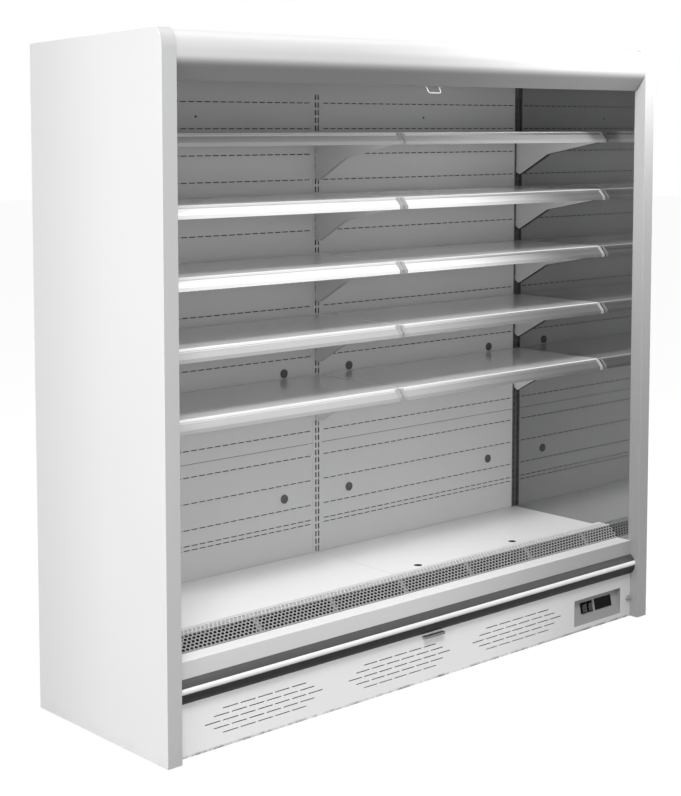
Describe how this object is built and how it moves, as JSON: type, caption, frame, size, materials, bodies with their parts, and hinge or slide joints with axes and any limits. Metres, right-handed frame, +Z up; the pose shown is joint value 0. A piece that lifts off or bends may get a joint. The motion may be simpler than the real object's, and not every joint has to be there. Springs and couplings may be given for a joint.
{
  "type": "open multideck display fridge",
  "caption": "Tall open-front refrigerated display cabinet with a curved canopy, bracketed shelves, air-return grille, kick plate with controls and a pull-down night blind.",
  "frame": {"origin": "on the floor, under the middle of the cabinet's box", "axes": "+Z up, the open front faces -Y, +X to the right seen from the front"},
  "size_m": [2.1, 0.645, 2],
  "materials": {
    "white_panel": "smooth white powder coat, semi-gloss",
    "grey_trim": "satin light grey coat",
    "canopy_white": "smooth white powder coat, semi-gloss",
    "mirror_grey": "dark polished mirror lining",
    "liner_grey": "satin grey powder coat",
    "plug_grey": "dark grey moulded plug",
    "deck_white": "smooth white powder coat",
    "shelf_white": "smooth white powder coat",
    "rail_white": "white extruded plastic",
    "grille_grey": "grey coated perforated sheet",
    "grey_front": "satin grey coat",
    "bumper_rubber": "dark grey moulded bumper",
    "bright_trim": "bright anodised insert strip",
    "kick_white": "smooth light grey-white powder coat",
    "knob_grey": "grey moulded quarter-turn knob",
    "black_gloss": "black glossy bezel",
    "rocker_black": "black moulded rocker",
    "black_plastic": "black moulded plastic",
    "foot_plastic": "black moulded foot with a steel stem",
    "white_liner": "white coated sheet",
    "lamp_diffuser": "opal lamp cover",
    "galvanised": "zinc-coated sheet",
    "blind_fabric": "coated roller-blind cloth",
    "blind_bar_metal": "satin extruded bar",
    "wire_grey": "light grey coated wire",
    "fin_aluminium": "bare fins",
    "compressor_black": "black gloss enamel",
    "condenser_black": "black coated fins",
    "copper": "bare copper tube",
    "box_grey": "grey moulded enclosure"
  },
  "bodies": {
    "cabinet": {"base_frame": "galvanised", "levelling_feet": "foot_plastic", "insulated_tub": "white_liner", "rear_wall": "galvanised", "rear_vent_panel": "galvanised", "power_inlet": "black_plastic", "left_end_panel": "white_panel", "right_end_panel": "white_panel", "left_front_trim": "grey_trim", "right_front_trim": "grey_trim", "mirror_linings": "mirror_grey", "roof_panel": "galvanised", "canopy_cover": "canopy_white", "canopy_duct": "white_liner", "air_outlet_honeycomb": "black_plastic", "canopy_lamp": "lamp_diffuser", "front_panel": "grey_front", "bumper": "bumper_rubber", "bumper_insert": "bright_trim", "kick_plate": "kick_white", "control_plate": "kick_white", "control_units": "black_gloss", "return_grille": "grille_grey", "deck_pan_left": "deck_white", "deck_pan_right": "deck_white", "slotted_posts": "liner_grey", "rear_liner_left": "liner_grey", "rear_liner_right": "liner_grey", "liner_plugs": "plug_grey", "shelf_brackets": "shelf_white", "price_rails_left": "rail_white", "price_rails_right": "rail_white", "fan_plate": "galvanised", "evaporator_coil": "fin_aluminium", "compressor": "compressor_black", "condenser_coil": "condenser_black", "condenser_fan_plate": "galvanised", "condensate_tray": "galvanised", "service_pipes": "copper", "electrical_box": "box_grey", "shelf_1_left": "shelf_white", "shelf_2_left": "shelf_white", "shelf_3_left": "shelf_white", "shelf_4_left": "shelf_white", "shelf_5_left": "shelf_white", "shelf_1_right": "shelf_white", "shelf_2_right": "shelf_white", "shelf_3_right": "shelf_white", "shelf_4_right": "shelf_white", "shelf_5_right": "shelf_white"},
    "evaporator_fan_1": {"evaporator_fan_1": "black_plastic"},
    "evaporator_fan_2": {"evaporator_fan_2": "black_plastic"},
    "evaporator_fan_3": {"evaporator_fan_3": "black_plastic"},
    "condenser_fan": {"condenser_fan": "black_plastic"},
    "blind_bar": {"blind_bar": "blind_bar_metal", "blind_handle": "wire_grey"},
    "blind_roller": {"blind_roller": "blind_fabric"},
    "main_switch": {"main_switch": "rocker_black"},
    "lamp_switch": {"lamp_switch": "rocker_black"},
    "kick_plate_knob": {"kick_plate_knob": "knob_grey"}
  },
  "joints": [
    {"name": "evaporator_fan_1_spin", "type": "hinge", "parent": "cabinet", "child": "evaporator_fan_1", "pos_m": [-0.48, -0.1165, 0.25275], "axis": [0, -0.666, 0.7459], "continuous": true},
    {"name": "evaporator_fan_2_spin", "type": "hinge", "parent": "cabinet", "child": "evaporator_fan_2", "pos_m": [0, -0.1165, 0.25275], "axis": [0, -0.666, 0.7459], "continuous": true},
    {"name": "evaporator_fan_3_spin", "type": "hinge", "parent": "cabinet", "child": "evaporator_fan_3", "pos_m": [0.48, -0.1165, 0.25275], "axis": [0, -0.666, 0.7459], "continuous": true},
    {"name": "condenser_fan_spin", "type": "hinge", "parent": "cabinet", "child": "condenser_fan", "pos_m": [-0.43, -0.1555, 0.099], "axis": [0, 1, 0], "continuous": true},
    {"name": "blind_pull", "type": "slide", "parent": "cabinet", "child": "blind_bar", "axis": [0, -0.0264, -0.9997], "range_m": [0, 1.6906], "stiffness_N_per_m": 10, "springref_m": -1.2},
    {"name": "blind_roll", "type": "hinge", "parent": "cabinet", "child": "blind_roller", "pos_m": [0, -0.2955, 1.935], "axis": [-1, 0, 0], "range_deg": [0, 4846]},
    {"name": "main_switch_rock", "type": "hinge", "parent": "cabinet", "child": "main_switch", "pos_m": [0.7535, -0.27636, 0.07766], "axis": [-1, 0, 0], "range_deg": [0, 12]},
    {"name": "lamp_switch_rock", "type": "hinge", "parent": "cabinet", "child": "lamp_switch", "pos_m": [0.7865, -0.27636, 0.07766], "axis": [-1, 0, 0], "range_deg": [0, 12]},
    {"name": "kick_plate_knob_turn", "type": "hinge", "parent": "cabinet", "child": "kick_plate_knob", "pos_m": [0.985, -0.2885, 0.072], "axis": [0, 1, 0], "range_deg": [0, 90]}
  ],
  "couplings": [
    {"joint": "blind_roll", "follows": "blind_pull", "rad_per_m": 50}
  ]
}
